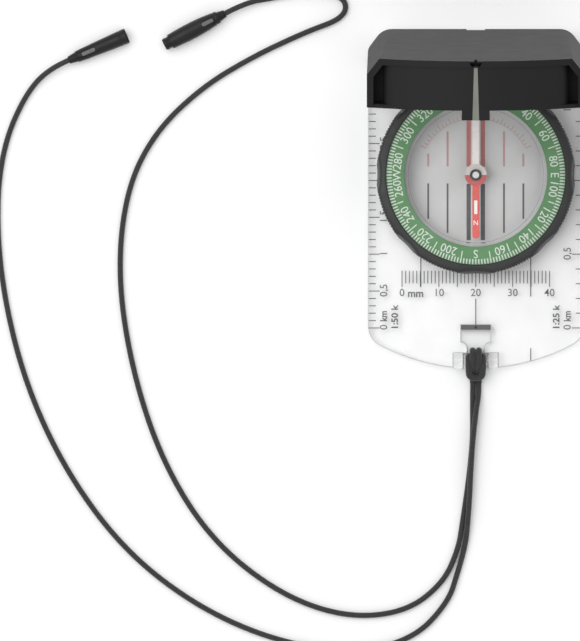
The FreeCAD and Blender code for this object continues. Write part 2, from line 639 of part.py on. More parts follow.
def main():
    fill_sheet()
    baseplate()
    hinge_pins()
    lid_shell()
    lid_fittings()
    bezel()
    capsule()
    capsule_rings()
    pivot()
    needle()
    hitch()
    cord("lanyard_cord_left", LEFT_ROUTE)
    cord("lanyard_cord_right", RIGHT_ROUTE)
    connectors()
    sheet.clear(SPARE_CELL)
    doc.recompute()
    check()
    os.makedirs("parts", exist_ok=True)
    for piece in nodes:
        piece.Shape.exportStep(os.path.join("parts", piece.Label + ".step"))
        bounds = piece.Shape.BoundBox
        print(f"{piece.Label}: volume {piece.Shape.Volume:.2f}, "
              f"x {bounds.XMin:.2f}..{bounds.XMax:.2f}, y {bounds.YMin:.2f}..{bounds.YMax:.2f}, "
              f"z {bounds.ZMin:.2f}..{bounds.ZMax:.2f}")


main()
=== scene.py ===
import json
import math

import bmesh
import bpy
from mathutils import Matrix, Vector


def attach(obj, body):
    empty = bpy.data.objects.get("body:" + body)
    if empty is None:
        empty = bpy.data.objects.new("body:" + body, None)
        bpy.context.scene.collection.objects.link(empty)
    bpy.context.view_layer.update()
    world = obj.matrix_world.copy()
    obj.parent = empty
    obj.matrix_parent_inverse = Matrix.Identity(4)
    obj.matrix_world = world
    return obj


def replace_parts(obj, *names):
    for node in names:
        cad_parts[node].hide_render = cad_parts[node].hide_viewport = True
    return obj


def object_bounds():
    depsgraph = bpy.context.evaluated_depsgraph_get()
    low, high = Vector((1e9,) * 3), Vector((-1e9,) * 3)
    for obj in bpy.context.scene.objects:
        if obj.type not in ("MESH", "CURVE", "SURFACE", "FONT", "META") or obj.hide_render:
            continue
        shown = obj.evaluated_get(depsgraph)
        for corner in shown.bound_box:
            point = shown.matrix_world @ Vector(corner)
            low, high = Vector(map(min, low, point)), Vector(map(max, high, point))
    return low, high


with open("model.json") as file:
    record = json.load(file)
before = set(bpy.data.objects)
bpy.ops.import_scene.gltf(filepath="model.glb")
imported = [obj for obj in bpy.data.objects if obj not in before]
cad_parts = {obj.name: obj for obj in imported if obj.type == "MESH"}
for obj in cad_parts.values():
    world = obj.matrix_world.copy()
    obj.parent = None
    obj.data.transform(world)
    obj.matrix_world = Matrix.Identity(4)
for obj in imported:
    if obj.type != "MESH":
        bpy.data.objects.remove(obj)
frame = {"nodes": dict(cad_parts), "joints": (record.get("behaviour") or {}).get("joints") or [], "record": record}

# Looks for the baseplate compass: its materials, prints, knurling, braided lanyard, floor, lights
# and camera. Sizes in the functions below are in millimetres unless they say otherwise, and
# piece() turns them into the frame's metres.

MM = 0.001
scene = bpy.context.scene
nodes = frame["nodes"]
cad_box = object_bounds()
joints = {joint["name"]: joint for joint in frame["joints"]}


# ---------------------------------------------------------------- materials

def tone(red, green, blue):
    """A colour in screen values, 0 to 255, as the linear colour that a shader takes."""
    linear = [(value / 255 / 12.92) if value < 11 else ((value / 255 + 0.055) / 1.055) ** 2.4
              for value in (red, green, blue)]
    return (*linear, 1.0)


class Look:
    """A node material round one Principled shader, in the object's own coordinates."""

    def __init__(self, name, **values):
        self.material = bpy.data.materials.new(name)
        self.material.use_nodes = True
        self.nodes = self.material.node_tree.nodes
        self.links = self.material.node_tree.links
        self.nodes.clear()
        self.output = self.node("OutputMaterial")
        self.shader = self.node("BsdfPrincipled", **values)
        self.links.new(self.shader.outputs["BSDF"], self.output.inputs["Surface"])
        self.place = self.node("TexCoord").outputs["Object"]

    def node(self, kind, settings=None, **values):
        """A shader node, with settings as its own properties and values on its sockets."""
        made = self.nodes.new("ShaderNode" + kind)
        for name, value in (settings or {}).items():
            setattr(made, name, value)
        for name, value in values.items():
            self.put(made.inputs[name.replace("_", " ")], value)
        return made

    def put(self, socket, value):
        """Link a socket to another's output, or set its value."""
        if isinstance(value, bpy.types.NodeSocket):
            self.links.new(value, socket)
        else:
            socket.default_value = value

    def set(self, **values):
        for name, value in values.items():
            self.put(self.shader.inputs[name.replace("_", " ")], value)

    def noise(self, size, detail=2.0, rough=0.5, place=None):
        """Noise from 0 to 1 whose blotches are about size millimetres across."""
        made = self.node("TexNoise", Vector=place or self.place, Scale=1 / (size * MM), Detail=detail,
                         Roughness=rough)
        return made.outputs["Fac"]

    def remap(self, value, low, high, start=0.3, end=0.7):
        made = self.node("MapRange", Value=value, From_Min=start, From_Max=end, To_Min=low, To_Max=high)
        return made.outputs["Result"]

    def mix(self, share, first, second):
        made = self.node("Mix", {"data_type": "RGBA"})
        self.put(made.inputs["Factor"], share)
        self.put(made.inputs[6], first)
        self.put(made.inputs[7], second)
        return made.outputs[2]

    def math(self, operation, first, second=0.0):
        made = self.node("Math", {"operation": operation})
        self.put(made.inputs[0], first)
        self.put(made.inputs[1], second)
        return made.outputs[0]

    def axis(self, name):
        return self.node("SeparateXYZ", Vector=self.place).outputs[name]

    def bump(self, height, depth, normal=None):
        """A normal from a height of 0 to 1, depth millimetres deep."""
        made = self.node("Bump", Height=height, Distance=depth * MM, Strength=1.0)
        if normal is not None:
            self.put(made.inputs["Normal"], normal)
        return made.outputs["Normal"]


def moulded(name, dark, light, rough, grain, depth, patch=9.0, specular=0.5):
    """Moulded plastic: colour and gloss that drift a little, and a fine grain."""
    look = Look(name, Specular_IOR_Level=specular)
    look.set(Base_Color=look.mix(look.remap(look.noise(patch, 3), 0, 1), dark, light),
             Roughness=look.remap(look.noise(patch / 4, 4), *rough),
             Normal=look.bump(look.noise(grain, 3, 0.6), depth))
    return look


def clear(name, tint, smudged, rough=(0.015, 0.05), ior=1.49, through=1.0):
    """Polished clear plastic that lets the lamps' light through to what is under it."""
    look = Look(name, Transmission_Weight=through, IOR=ior)
    film = look.remap(look.noise(7.0, 4, 0.6), 0, 1)
    colour = look.mix(film, tint, smudged)
    look.set(Base_Color=colour, Roughness=look.remap(look.noise(2.5, 5, 0.65), *rough),
             Normal=look.bump(look.noise(5.0, 2), 0.004))
    unbent = look.node("BsdfTransparent", Color=colour)
    ray = look.node("LightPath")
    both = look.node("MixShader", Fac=ray.outputs["Is Shadow Ray"])
    look.links.new(look.shader.outputs["BSDF"], both.inputs[1])
    look.links.new(unbent.outputs["BSDF"], both.inputs[2])
    look.links.new(both.outputs["Shader"], look.output.inputs["Surface"])
    return look


def printed(name, ink, wear_and_hub_shade, rough=0.55):
    """Screen-printed ink, a little uneven in its cover."""
    look = Look(name, Specular_IOR_Level=0.35)
    look.set(Base_Color=look.mix(look.remap(look.noise(0.5, 4, 0.7), 0, 1), ink, wear_and_hub_shade),
             Roughness=look.remap(look.noise(0.3, 3), rough - 0.08, rough + 0.08),
             Normal=look.bump(look.noise(0.12, 2), 0.006))
    return look


def metal(name, dark, light, rough, scratch, depth=0.002):
    """Bare metal with fine scratches along Y."""
    look = Look(name, Metallic=1.0)
    stretch = look.node("Mapping", Vector=look.place, Scale=(1.0, scratch, 1.0)).outputs["Vector"]
    fine = look.noise(0.15, 4, 0.7, stretch)
    look.set(Base_Color=look.mix(look.remap(look.noise(3.0, 3), 0, 1), dark, light),
             Roughness=look.remap(fine, *rough), Normal=look.bump(fine, depth))
    return look


def braid_look():
    """Black polyester braid: fuzzy and dull, with paler patches of fibre."""
    look = Look("cord_braid", Specular_IOR_Level=0.3, Sheen_Weight=0.25, Sheen_Roughness=0.5)
    fibre = look.noise(0.09, 4, 0.7)
    look.set(Base_Color=look.mix(look.remap(look.noise(0.5, 4, 0.6), 0, 1), tone(38, 38, 39),
                                 tone(56, 56, 57)),
             Roughness=look.remap(fibre, 0.62, 0.85), Normal=look.bump(fibre, 0.03))
    return look


def needle_look():
    """Glossy paint: red on the half that points north, white on the other, with painted shade round the hub."""
    look = Look("needle_paint", Coat_Weight=0.3, Coat_Roughness=0.15)
    chip = look.remap(look.noise(1.2, 4, 0.7), 0, 1)
    red = look.mix(chip, tone(206, 74, 68), tone(220, 92, 84))
    white = look.mix(chip, tone(228, 222, 218), tone(238, 233, 229))
    north = look.math("GREATER_THAN", look.axis("Y"), 0.0)
    painted = look.mix(north, red, white)
    # Both halves are darkened within 3 mm of the hub: painted shade for the hub cap's shadow.
    wear_and_hub_shade = look.mix(north, tone(186, 78, 74), tone(200, 196, 192))
    away = look.math("SQRT", look.math("ADD", look.math("POWER", look.axis("X"), 2.0),
                                       look.math("POWER", look.axis("Y"), 2.0)))
    disc = look.remap(away, 1, 0, 2.9 * MM, 3.1 * MM)
    look.set(Base_Color=look.mix(disc, painted, wear_and_hub_shade),
             Roughness=look.remap(look.noise(0.8, 3), 0.28, 0.42),
             Normal=look.bump(look.noise(0.4, 2), 0.004))
    return look


LOOKS = {
    "clear_base": clear("clear_base", tone(250, 250, 250), tone(246, 246, 246)),
    "clear_capsule": clear("clear_capsule", tone(254, 254, 254), tone(251, 251, 251), ior=1.12),
    "catch_grey": moulded("catch_grey", tone(80, 80, 80), tone(94, 94, 94), (0.35, 0.5), 0.2, 0.01),
    "lid_black": moulded("lid_black", tone(29, 29, 30), tone(31, 31, 32), (0.5, 0.53), 0.12, 0.0015,
                         patch=20.0, specular=0.15),
    "bezel_black": moulded("bezel_black", tone(29, 29, 30), tone(39, 39, 40), (0.38, 0.52), 0.12, 0.012),
    "dial_green": moulded("dial_green", tone(86, 134, 88), tone(98, 146, 100), (0.45, 0.6), 0.15, 0.008),
    "plate_grey": moulded("plate_grey", tone(199, 199, 199), tone(208, 208, 208), (0.5, 0.65), 0.4, 0.006),
    "needle_red": needle_look(),
    "steel": metal("steel", tone(150, 150, 152), tone(190, 190, 192), (0.22, 0.4), 0.1),
    "hub_dark": moulded("hub_dark", tone(46, 46, 46), tone(62, 62, 62), (0.3, 0.45), 0.1, 0.01),
    "jewel": moulded("jewel", tone(208, 208, 205), tone(222, 222, 219), (0.08, 0.16), 0.5, 0.01, 0.8),
    "mirror": metal("mirror", tone(224, 226, 228), tone(234, 236, 238), (0.01, 0.03), 1.0, 0.00005),
    "luminous": moulded("luminous", tone(108, 111, 102), tone(124, 126, 117), (0.5, 0.65), 0.2, 0.01),
    "cord_black": braid_look(),
    "connector_black": moulded("connector_black", tone(24, 24, 25), tone(33, 33, 34), (0.32, 0.45),
                               0.1, 0.01, specular=0.25),
}
INKS = {
    "scale": printed("ink_scale", tone(92, 92, 93), tone(112, 112, 113)),
    "dial": printed("ink_dial", tone(222, 230, 220), tone(205, 218, 204)),
    "grey": printed("ink_grey", tone(92, 92, 94), tone(106, 106, 108)),
    "red": printed("ink_red", tone(190, 116, 112), tone(198, 130, 126)),
    "faded_red": printed("ink_faded_red", tone(186, 146, 145), tone(192, 156, 155)),
    "pale_red": printed("ink_pale_red", tone(202, 166, 164), tone(198, 176, 174)),
    "white": printed("ink_white", tone(240, 240, 236), tone(230, 230, 226), 0.4),
    "label": printed("ink_label", tone(112, 112, 112), tone(92, 92, 92)),
    "black": printed("ink_black", tone(30, 30, 30), tone(44, 44, 44)),
}


# ---------------------------------------------------------------- mesh pieces

def into_scene(name, mesh, body, look, place):
    """A bmesh in millimetres as an object in metres, put in its place, that rides on a body."""
    made = bpy.data.meshes.new(name)
    mesh.to_mesh(made)
    mesh.free()
    made.transform(Matrix.Scale(MM, 4))
    if place is not None:
        made.transform(place)
    made.materials.append(look.material)
    thing = bpy.data.objects.new(name, made)
    scene.collection.objects.link(thing)
    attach(thing, body)
    return thing


def piece(name, mesh, body, look, place=None, sharp=35):
    """A smooth piece whose edges stay sharp where its faces turn by more than sharp degrees."""
    bmesh.ops.recalc_face_normals(mesh, faces=mesh.faces)
    thing = into_scene(name, mesh, body, look, place)
    thing.data.shade_smooth()
    thing.data.set_sharp_from_angle(angle=math.radians(sharp))
    return thing


def ring_strip(mesh, rows, closed_rows=False, closed_columns=True):
    """Faces over a grid of points: rows of equal length, each row a ring or an open line."""
    grid = [[mesh.verts.new(point) for point in row] for row in rows]
    pairs = list(zip(grid, grid[1:] + grid[:1] if closed_rows else grid[1:]))
    count = len(rows[0])
    for low, high in pairs:
        for here in range(count if closed_columns else count - 1):
            after = (here + 1) % count
            mesh.faces.new((low[here], low[after], high[after], high[here]))
    return grid


def turned(profile, steps, shape=lambda angle, along, radius: radius):
    """A solid turned about Z from (radius, height) points whose first and last are on the axis."""
    mesh = bmesh.new()
    rows = []
    for radius, along in profile[1:-1]:
        angles = [math.tau * step / steps for step in range(steps)]
        rows.append([(shape(angle, along, radius) * math.cos(angle),
                      shape(angle, along, radius) * math.sin(angle), along) for angle in angles])
    grid = ring_strip(mesh, rows)
    for row, (_, along) in ((grid[0], profile[0]), (grid[-1], profile[-1])):
        middle = mesh.verts.new((0, 0, along))
        for here in range(steps):
            mesh.faces.new((middle, row[here], row[(here + 1) % steps]))
    return mesh


CAPITAL_SHARE = 0.73        # a capital's height in the font, as a share of the font's size


class Artwork:
    """Flat printed marks, collected in one mesh."""

    def __init__(self):
        self.mesh = bmesh.new()

    def bar(self, start, end, width):
        """A straight mark from start to end."""
        start, end = Vector(start), Vector(end)
        side = (end - start).orthogonal().normalized() * width / 2
        corners = [start - side, end - side, end + side, start + side]
        self.mesh.faces.new([self.mesh.verts.new((*corner, 0)) for corner in corners])

    def spoke(self, azimuth, inner, outer, width):
        """A mark along a radius, at an azimuth clockwise from +Y."""
        away = Vector((math.sin(math.radians(azimuth)), math.cos(math.radians(azimuth))))
        self.bar(away * inner, away * outer, width)

    def arc(self, radius, first, last, width, step=1.0):
        """A thin arc from one azimuth to another."""
        count = max(2, round(abs(last - first) / step))
        edges = []
        for at in range(count + 1):
            angle = math.radians(first + (last - first) * at / count)
            edges.append([self.mesh.verts.new((reach * math.sin(angle), reach * math.cos(angle), 0))
                          for reach in (radius - width / 2, radius + width / 2)])
        for (a, b), (c, d) in zip(edges, edges[1:]):
            self.mesh.faces.new((a, b, d, c))

    def label(self, text, x, y, size, turn=0.0, narrow=0.85, bold=False):
        """Text of the given capital height, centred at x, y and turned by turn degrees."""
        font = bpy.data.curves.new("label", "FONT")
        font.body = text
        font.size = size / CAPITAL_SHARE
        font.align_x = "CENTER"
        font.align_y = "CENTER"
        font.resolution_u = 3
        font.offset = 0.06 if bold else 0.01
        holder = bpy.data.objects.new("label", font)
        scene.collection.objects.link(holder)
        flat = bpy.data.meshes.new_from_object(holder)
        where = Matrix.Translation((x, y, 0)) @ Matrix.Rotation(math.radians(turn), 4, "Z")
        flat.transform(where @ Matrix.Diagonal((narrow, 1, 1, 1)))
        self.mesh.from_mesh(flat)
        bpy.data.meshes.remove(flat)
        bpy.data.objects.remove(holder)
        bpy.data.curves.remove(font)

    def finish(self, name, height, body, slot, ink, place=None):
        """The marks as a piece at a height, in millimetres."""
        for face in self.mesh.faces:
            face.normal_update()
            if face.normal.z < 0:
                face.normal_flip()
        bmesh.ops.translate(self.mesh, vec=(0, 0, height), verts=self.mesh.verts)
        into_scene(name, self.mesh, body, INKS[ink], place)


# ---------------------------------------------------------------- baseplate

PRINT_GAP = 0.02            # from a surface to the print on it
PLATE_TOP = 2.5
TICK_WIDE = 0.26
LINE_WIDE = 0.3
NUMBER_HIGH = 2.1
RULER_LONG = 40
RULER_START, RULER_SHORT_END, RULER_LONG_END = -26.0, -29.4, -30.4
MAP_EDGE = 29.0             # where the map scales' ticks start, each side of the middle
MAP_ZERO = -41.5
MAP_LONG = 68
MAP_TICK, MAP_LONG_TICK = 1.9, 2.9
MAP_NUMBERS, MAP_NAME = 24.9, 21.9
GUIDE_ASIDE = 14.9          # the two guide lines beside the dial


def plate_scales():
    """The ruler under the dial, the two map scales along the edges, and the guide lines."""
    art = Artwork()
    for mark in range(RULER_LONG + 1):
        x = mark - RULER_LONG / 2
        art.bar((x, RULER_START), (x, RULER_LONG_END if mark % 5 == 0 else RULER_SHORT_END), TICK_WIDE)
        if mark % 10 == 0:
            art.label(str(mark), x, -32.0, NUMBER_HIGH, narrow=1.0)
    art.label("mm", -16.3, -32.2, NUMBER_HIGH, narrow=0.98, bold=True)
    for x, north, south in ((-GUIDE_ASIDE, -22.0, RULER_LONG_END), (GUIDE_ASIDE, -22.0, -33.0),
                            (GUIDE_ASIDE, -47.0, -50.4), (0, -33.6, -40.7)):
        art.bar((x, north), (x, south), LINE_WIDE)
    for edge, spacing, name in ((-1, 2.0, "1:50 k"), (1, 4.0, "1:25 k")):
        for mark in range(int(MAP_LONG / spacing)):
            y = MAP_ZERO + mark * spacing
            tick = MAP_LONG_TICK if mark % 5 == 0 else MAP_TICK
            art.bar((edge * MAP_EDGE, y), (edge * (MAP_EDGE - tick), y), TICK_WIDE)
            if mark % 5 == 0:
                kilometres = f"{mark // 5 / 2:g}".replace(".", ",")
                art.label(kilometres, edge * MAP_NUMBERS, y + 0.2, NUMBER_HIGH, 90, 1.0)
        art.label("km", edge * MAP_NUMBERS, -38.3, 1.9, 90, 0.9, True)
        art.label(name, edge * MAP_NAME, -38.7, 1.8, 90, 1.08, True)
    art.finish("plate_scales", PLATE_TOP + PRINT_GAP, "base", "clear_base", "scale")


def catch_dot():
    """The small dark dot where the guide line meets the catch."""
    art = Artwork()
    art.arc(0.17, 0, 360, 0.34, 20)
    art.finish("catch_dot", PLATE_TOP + PRINT_GAP, "base", "catch_grey", "black",
               Matrix.Translation((0, -41.35 * MM, 0)))


# ---------------------------------------------------------------- dial

GRIP_RADIUS = 27.0
GRIP_STEPS = 1600
GRIP_WALL = [               # (how far inside the outer radius, height)
    (0.25, 2.7), (0.0, 2.95), (0.0, 4.6), (0.0, 6.4), (0.0, 8.1), (0.1, 8.5), (0.3, 8.85),
    (0.62, 9.12), (0.95, 9.2),
]
GRIP_INSIDE = [             # (radius, height)
    (24.5, 9.2), (24.3, 9.0), (24.3, 8.4), (24.6, 8.4), (24.6, 4.4), (21.93, 4.4), (21.93, 2.7),
    (23.8, 2.7), (23.8, 3.5), (24.6, 3.5), (24.6, 2.7),
]
RIBS = 200
RIB_HALF_DEEP = 0.11
RIB_FADE = 0.5              # how far from a scoop the ribs reach their full depth
SCOOP_CENTRE = 46.75        # from the dial's axis to a scoop's own axis
SCOOP_FOOT, SCOOP_GROWS = 20.0, 0.8
SCOOP_LOW, SCOOP_HIGH = 2.5, 6.9    # where the scoop's cone starts, and how tall it is
NO_SCOOP = 99.0


def grip_radius(angle, height):
    """The grip ring's outer radius: fine ribs, with a bevelled scoop at each eighth of a turn."""
    away = (angle + math.pi / 8) % (math.pi / 4) - math.pi / 8
    cone = SCOOP_FOOT + SCOOP_GROWS * (height - SCOOP_LOW) / SCOOP_HIGH
    inside = cone ** 2 - (SCOOP_CENTRE * math.sin(away)) ** 2
    scoop = SCOOP_CENTRE * math.cos(away) - math.sqrt(inside) if inside > 0 else NO_SCOOP
    fade = min(1.0, max(0.0, (scoop - GRIP_RADIUS) / RIB_FADE))
    rib = RIB_HALF_DEEP * (1 + math.cos(angle * RIBS)) * fade
    return min(GRIP_RADIUS - rib, scoop)


def grip_ring():
    """The knurled ring in place of its plain solid."""
    mesh = bmesh.new()
    angles = [math.tau * step / GRIP_STEPS for step in range(GRIP_STEPS)]
    rows = []
    for inset, height in GRIP_WALL:
        reaches = [grip_radius(angle, height) - inset for angle in angles]
        rows.append([(reach * math.cos(a), reach * math.sin(a), height)
                     for a, reach in zip(angles, reaches)])
    for radius, height in GRIP_INSIDE:
        rows.append([(radius * math.cos(a), radius * math.sin(a), height) for a in angles])
    ring_strip(mesh, rows, closed_rows=True)
    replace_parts(piece("grip_ring", mesh, "dial", LOOKS["bezel_black"]), "bezel_ring")


CARDINALS = {0: "N", 90: "E", 180: "S", 270: "W"}
RING_TOP = 8.4
NUMERAL_RADIUS = 21.3
FLOOR_PLATE_TOP = 1.6
NEEDLE_TOP = 5.9
DECLINATION_RADIUS = 15.4
BAR_ASIDE, BAR_WIDE = 1.93, 1.15    # the two wide orienting bars beside the needle


def dial_marks():
    """Ticks each two degrees, numerals each twenty, and short lines at the tens between."""
    art = Artwork()
    for azimuth in range(0, 360, 2):
        art.spoke(azimuth, 22.8, 24.2, 0.33)
    for azimuth in range(0, 360, 10):
        away = math.radians(azimuth)
        if azimuth in CARDINALS or azimuth % 20 == 0:
            text = CARDINALS.get(azimuth, str(azimuth))
            art.label(text, NUMERAL_RADIUS * math.sin(away), NUMERAL_RADIUS * math.cos(away), 2.35,
                      -azimuth, 0.95)
        else:
            art.spoke(azimuth, 20.9, 22.7, 0.28)
    art.finish("dial_marks", RING_TOP + PRINT_GAP, "dial", "dial_green", "dial")


def meridian_lines():
    """The lines on the capsule's floor plate: red to the dial's north and grey to its south."""
    north, bars, south = Artwork(), Artwork(), Artwork()
    for side in (-1, 1):
        for x, top, bottom in ((7.65, 11.8, -15.7), (12.9, 5.8, -11.9)):
            north.bar((side * x, 2.3), (side * x, top), 0.55)
            south.bar((side * x, -2.3), (side * x, bottom), 0.5)
        bars.bar((side * BAR_ASIDE, 2.2), (side * BAR_ASIDE, 17.6), BAR_WIDE)
        south.bar((side * BAR_ASIDE, -2.4), (side * BAR_ASIDE, -17.7), BAR_WIDE)
    north.finish("meridians_north", FLOOR_PLATE_TOP + PRINT_GAP, "dial", "plate_grey", "faded_red")
    bars.finish("orienting_bars", FLOOR_PLATE_TOP + PRINT_GAP, "dial", "plate_grey", "red")
    south.finish("meridians_south", FLOOR_PLATE_TOP + PRINT_GAP, "dial", "plate_grey", "grey")


def declination_marks():
    """The pale arc scale on the capsule's floor plate."""
    art = Artwork()
    for side in (-1, 1):
        art.arc(DECLINATION_RADIUS, side * 14, side * 62, 0.18)
        for azimuth in range(14, 63, 4):
            art.spoke(side * azimuth, DECLINATION_RADIUS, 16.9 if azimuth % 12 == 2 else 16.3, 0.3)
    art.finish("declination_marks", FLOOR_PLATE_TOP + PRINT_GAP, "dial", "plate_grey", "pale_red")


def needle_marks():
    """The pale bar and the letter on the needle's red half."""
    art = Artwork()
    art.bar((0, -6.9), (0, -10.6), 0.85)
    art.label("N", 0, -12.9, 1.35, 180, 1.0)
    art.finish("needle_marks", NEEDLE_TOP + PRINT_GAP, "needle", "needle_red", "white")


# ---------------------------------------------------------------- lid

LID = (Matrix.Translation(joints["lid_hinge"]["pos_m"])
       @ Matrix.Rotation(math.radians(joints["lid_hinge"]["range_deg"][0]), 4, "X"))


MIRROR_FACE = 5.1           # measured from the hinge's axis, with the lid shut


def mirror_line():
    """The dark sighting line down the middle of the mirror."""
    art = Artwork()
    art.bar((0, -7.4), (0, -59.6), 0.45)
    art.finish("mirror_line", MIRROR_FACE - PRINT_GAP, "lid", "mirror", "black", LID)


# ---------------------------------------------------------------- lanyard

LEFT_ROUTE = [
    (-0.0008, -0.0559, 0.00085), (-0.00085, -0.063, 0.00085), (-0.0008, -0.07, 0.00085),
    (-0.00125, -0.0765, 0.00085), (-0.0021, -0.084, 0.00085), (-0.0034, -0.093, 0.00085),
    (-0.0047, -0.1015, 0.00085), (-0.009, -0.111, 0.00085), (-0.0195, -0.1188, 0.00085),
    (-0.036, -0.12, 0.00085), (-0.054, -0.1133, 0.00085), (-0.072, -0.0988, 0.00085),
    (-0.085, -0.078, 0.00085), (-0.0933, -0.053, 0.00085), (-0.0972, -0.027, 0.00085),
    (-0.0948, -0.004, 0.00085), (-0.087, 0.0117, 0.00085), (-0.074, 0.024, 0.00085),
    (-0.0605, 0.032, 0.00085), (-0.05, 0.037, 0.00085), (-0.0436, 0.0397, 0.00085),
    (-0.0392, 0.0413, 0.00085), (-0.0365, 0.0429, 0.00085), (-0.0352, 0.0449, 0.00085),
    (-0.0356, 0.0472, 0.00085), (-0.0376, 0.0486, 0.00085), (-0.0414, 0.0492, 0.00085),
    (-0.048, 0.0493, 0.00085), (-0.0558, 0.0479, 0.001), (-0.0624, 0.0467, 0.00225),
    (-0.068, 0.0438, 0.00225),
]
RIGHT_ROUTE = [
    (0.0008, -0.0559, 0.00085), (0.0008, -0.0579, 0.00085), (0.00065, -0.0604, 0.00162),
    (0.0002, -0.0633, 0.00242), (-0.0003, -0.0672, 0.00242), (-0.0008, -0.072, 0.00242),
    (-0.0012, -0.0775, 0.00242), (-0.0015, -0.083, 0.0024), (-0.00175, -0.0885, 0.0022),
    (-0.0022, -0.0945, 0.00165), (-0.00275, -0.1, 0.0009), (-0.0048, -0.1075, 0.00085),
    (-0.0075, -0.116, 0.00085), (-0.017, -0.126, 0.00085), (-0.034, -0.13, 0.00085),
    (-0.056, -0.126, 0.00085), (-0.077, -0.1163, 0.00085), (-0.096, -0.1012, 0.00085),
    (-0.1115, -0.08, 0.00085), (-0.1225, -0.056, 0.00085), (-0.1287, -0.03, 0.00085),
    (-0.1301, -0.007, 0.00085), (-0.1277, 0.0095, 0.00085), (-0.1218, 0.0224, 0.00095),
    (-0.1156, 0.0289, 0.0021), (-0.1104, 0.0311, 0.0021),
]
HITCH_HALF = [
    (-0.8, -56.4, 0.85), (-0.82, -54.9, 1.0), (-0.84, -53.3, 2.2), (-0.84, -51.8, 4.4),
    (-0.84, -49.6, 5.2), (-0.84, -48.0, 4.6), (-0.84, -47.4, 2.6), (-0.84, -48.1, 0.9),
    (-0.9, -50.0, 0.8), (-1.2, -52.6, 0.8), (-2.0, -52.9, 0.8), (-1.95, -50.8, 0.85),
    (-1.95, -49.4, 0.9), (-1.95, -49.1, 2.7), (-1.95, -49.6, 4.3), (-1.95, -51.3, 4.4),
    (-1.95, -53.0, 4.2), (-1.8, -54.6, 3.7), (-0.7, -55.1, 3.4),
]
HITCH_RADIUS = 0.84
CORD_RADIUS = 0.75
BRAID_YARNS = 6
BRAID_PITCH = 0.9
BRAID_DEEP = 0.1            # as a share of the cord's radius
CORD_STEP = 0.2             # between the rows of a braid's points


def smooth_line(route, resolution):
    """Points along the route's NURBS spline, in the route's own unit."""
    curve = bpy.data.curves.new("route", "CURVE")
    curve.dimensions = "3D"
    spline = curve.splines.new("NURBS")
    spline.points.add(len(route) - 1)
    for point, spot in zip(spline.points, route):
        point.co = (*spot, 1.0)
    spline.order_u = 3
    spline.use_endpoint_u = True
    spline.resolution_u = resolution
    holder = bpy.data.objects.new("route", curve)
    scene.collection.objects.link(holder)
    line = bpy.data.meshes.new_from_object(holder)
    points = [vertex.co.copy() for vertex in line.vertices]
    bpy.data.meshes.remove(line)
    bpy.data.objects.remove(holder)
    bpy.data.curves.remove(curve)
    return points


def evenly(points, step):
    """Points at even steps along a line of points."""
    spaced = [points[0]]
    left = step
    for start, end in zip(points, points[1:]):
        run = (end - start).length
        while run >= left:
            start = start.lerp(end, left / run)
            run = (end - start).length
            spaced.append(start)
            left = step
        left -= run
    return spaced + [points[-1]]


def braid_height(angle, along):
    """How far the braid's surface stands out, 0 to 1, round and along the cord."""
    turn = BRAID_YARNS * angle / math.tau
    rise = along / BRAID_PITCH
    over = 0.5 + 0.5 * math.sin(math.tau * turn) * math.sin(math.tau * rise)
    first = abs(math.sin(math.pi * (turn + rise)))
    second = abs(math.sin(math.pi * (turn - rise)))
    return max(first * (0.55 + 0.45 * over), second * (1.0 - 0.45 * over))


def braided_tube(points, radius, around=30):
    """A braided cord's surface along points in millimetres, with closed ends."""
    mesh = bmesh.new()
    rows = []
    along = 0.0
    side = None
    for number, point in enumerate(points):
        before, after = points[max(number - 1, 0)], points[min(number + 1, len(points) - 1)]
        heading = (after - before).normalized()
        if side is None:
            side = heading.orthogonal().normalized()
        side = (side - heading * side.dot(heading)).normalized()
        up = heading.cross(side)
        row = []
        for step in range(around):
            angle = math.tau * step / around
            reach = radius * (1 - BRAID_DEEP + BRAID_DEEP * braid_height(angle, along))
            row.append(point + (side * math.cos(angle) + up * math.sin(angle)) * reach)
        rows.append(row)
        along += (after - point).length
    grid = ring_strip(mesh, rows)
    mesh.faces.new(grid[0])
    mesh.faces.new(grid[-1])
    return mesh


def strand(name, route, node):
    """One lanyard strand: a braid along the route, in place of its CAD node."""
    line = smooth_line(route, 40)
    points = [point / MM for point in evenly(line, CORD_STEP * MM)]
    cord = piece(name, braided_tube(points, CORD_RADIUS), "base", LOOKS["cord_black"])
    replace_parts(cord, node)
    return cord


def hitch_knot():
    """The cow hitch on the baseplate's bar, tied in the lanyard's own cord."""
    other = [(-x, y, z) for x, y, z in reversed(HITCH_HALF)]
    points = evenly(smooth_line(HITCH_HALF + other, 30), CORD_STEP)
    knot = piece("hitch_knot", braided_tube(points, HITCH_RADIUS), "base",
                 LOOKS["cord_black"])
    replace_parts(knot, "lanyard_hitch")
    return knot


def along_route_end(route):
    """The frame of a connector: its tail at the route's end, and Z along the last run."""
    tail, before = Vector(route[-1]), Vector(route[-2])
    return Matrix.Translation(tail) @ (tail - before).to_track_quat("Z", "Y").to_matrix().to_4x4()


def seam(angle, along, radius):
    """A moulded part's faint parting line along both sides."""
    nearest = abs((angle + math.pi / 2) % math.pi - math.pi / 2)
    return radius + 0.05 * max(0.0, 1 - nearest / 0.05)


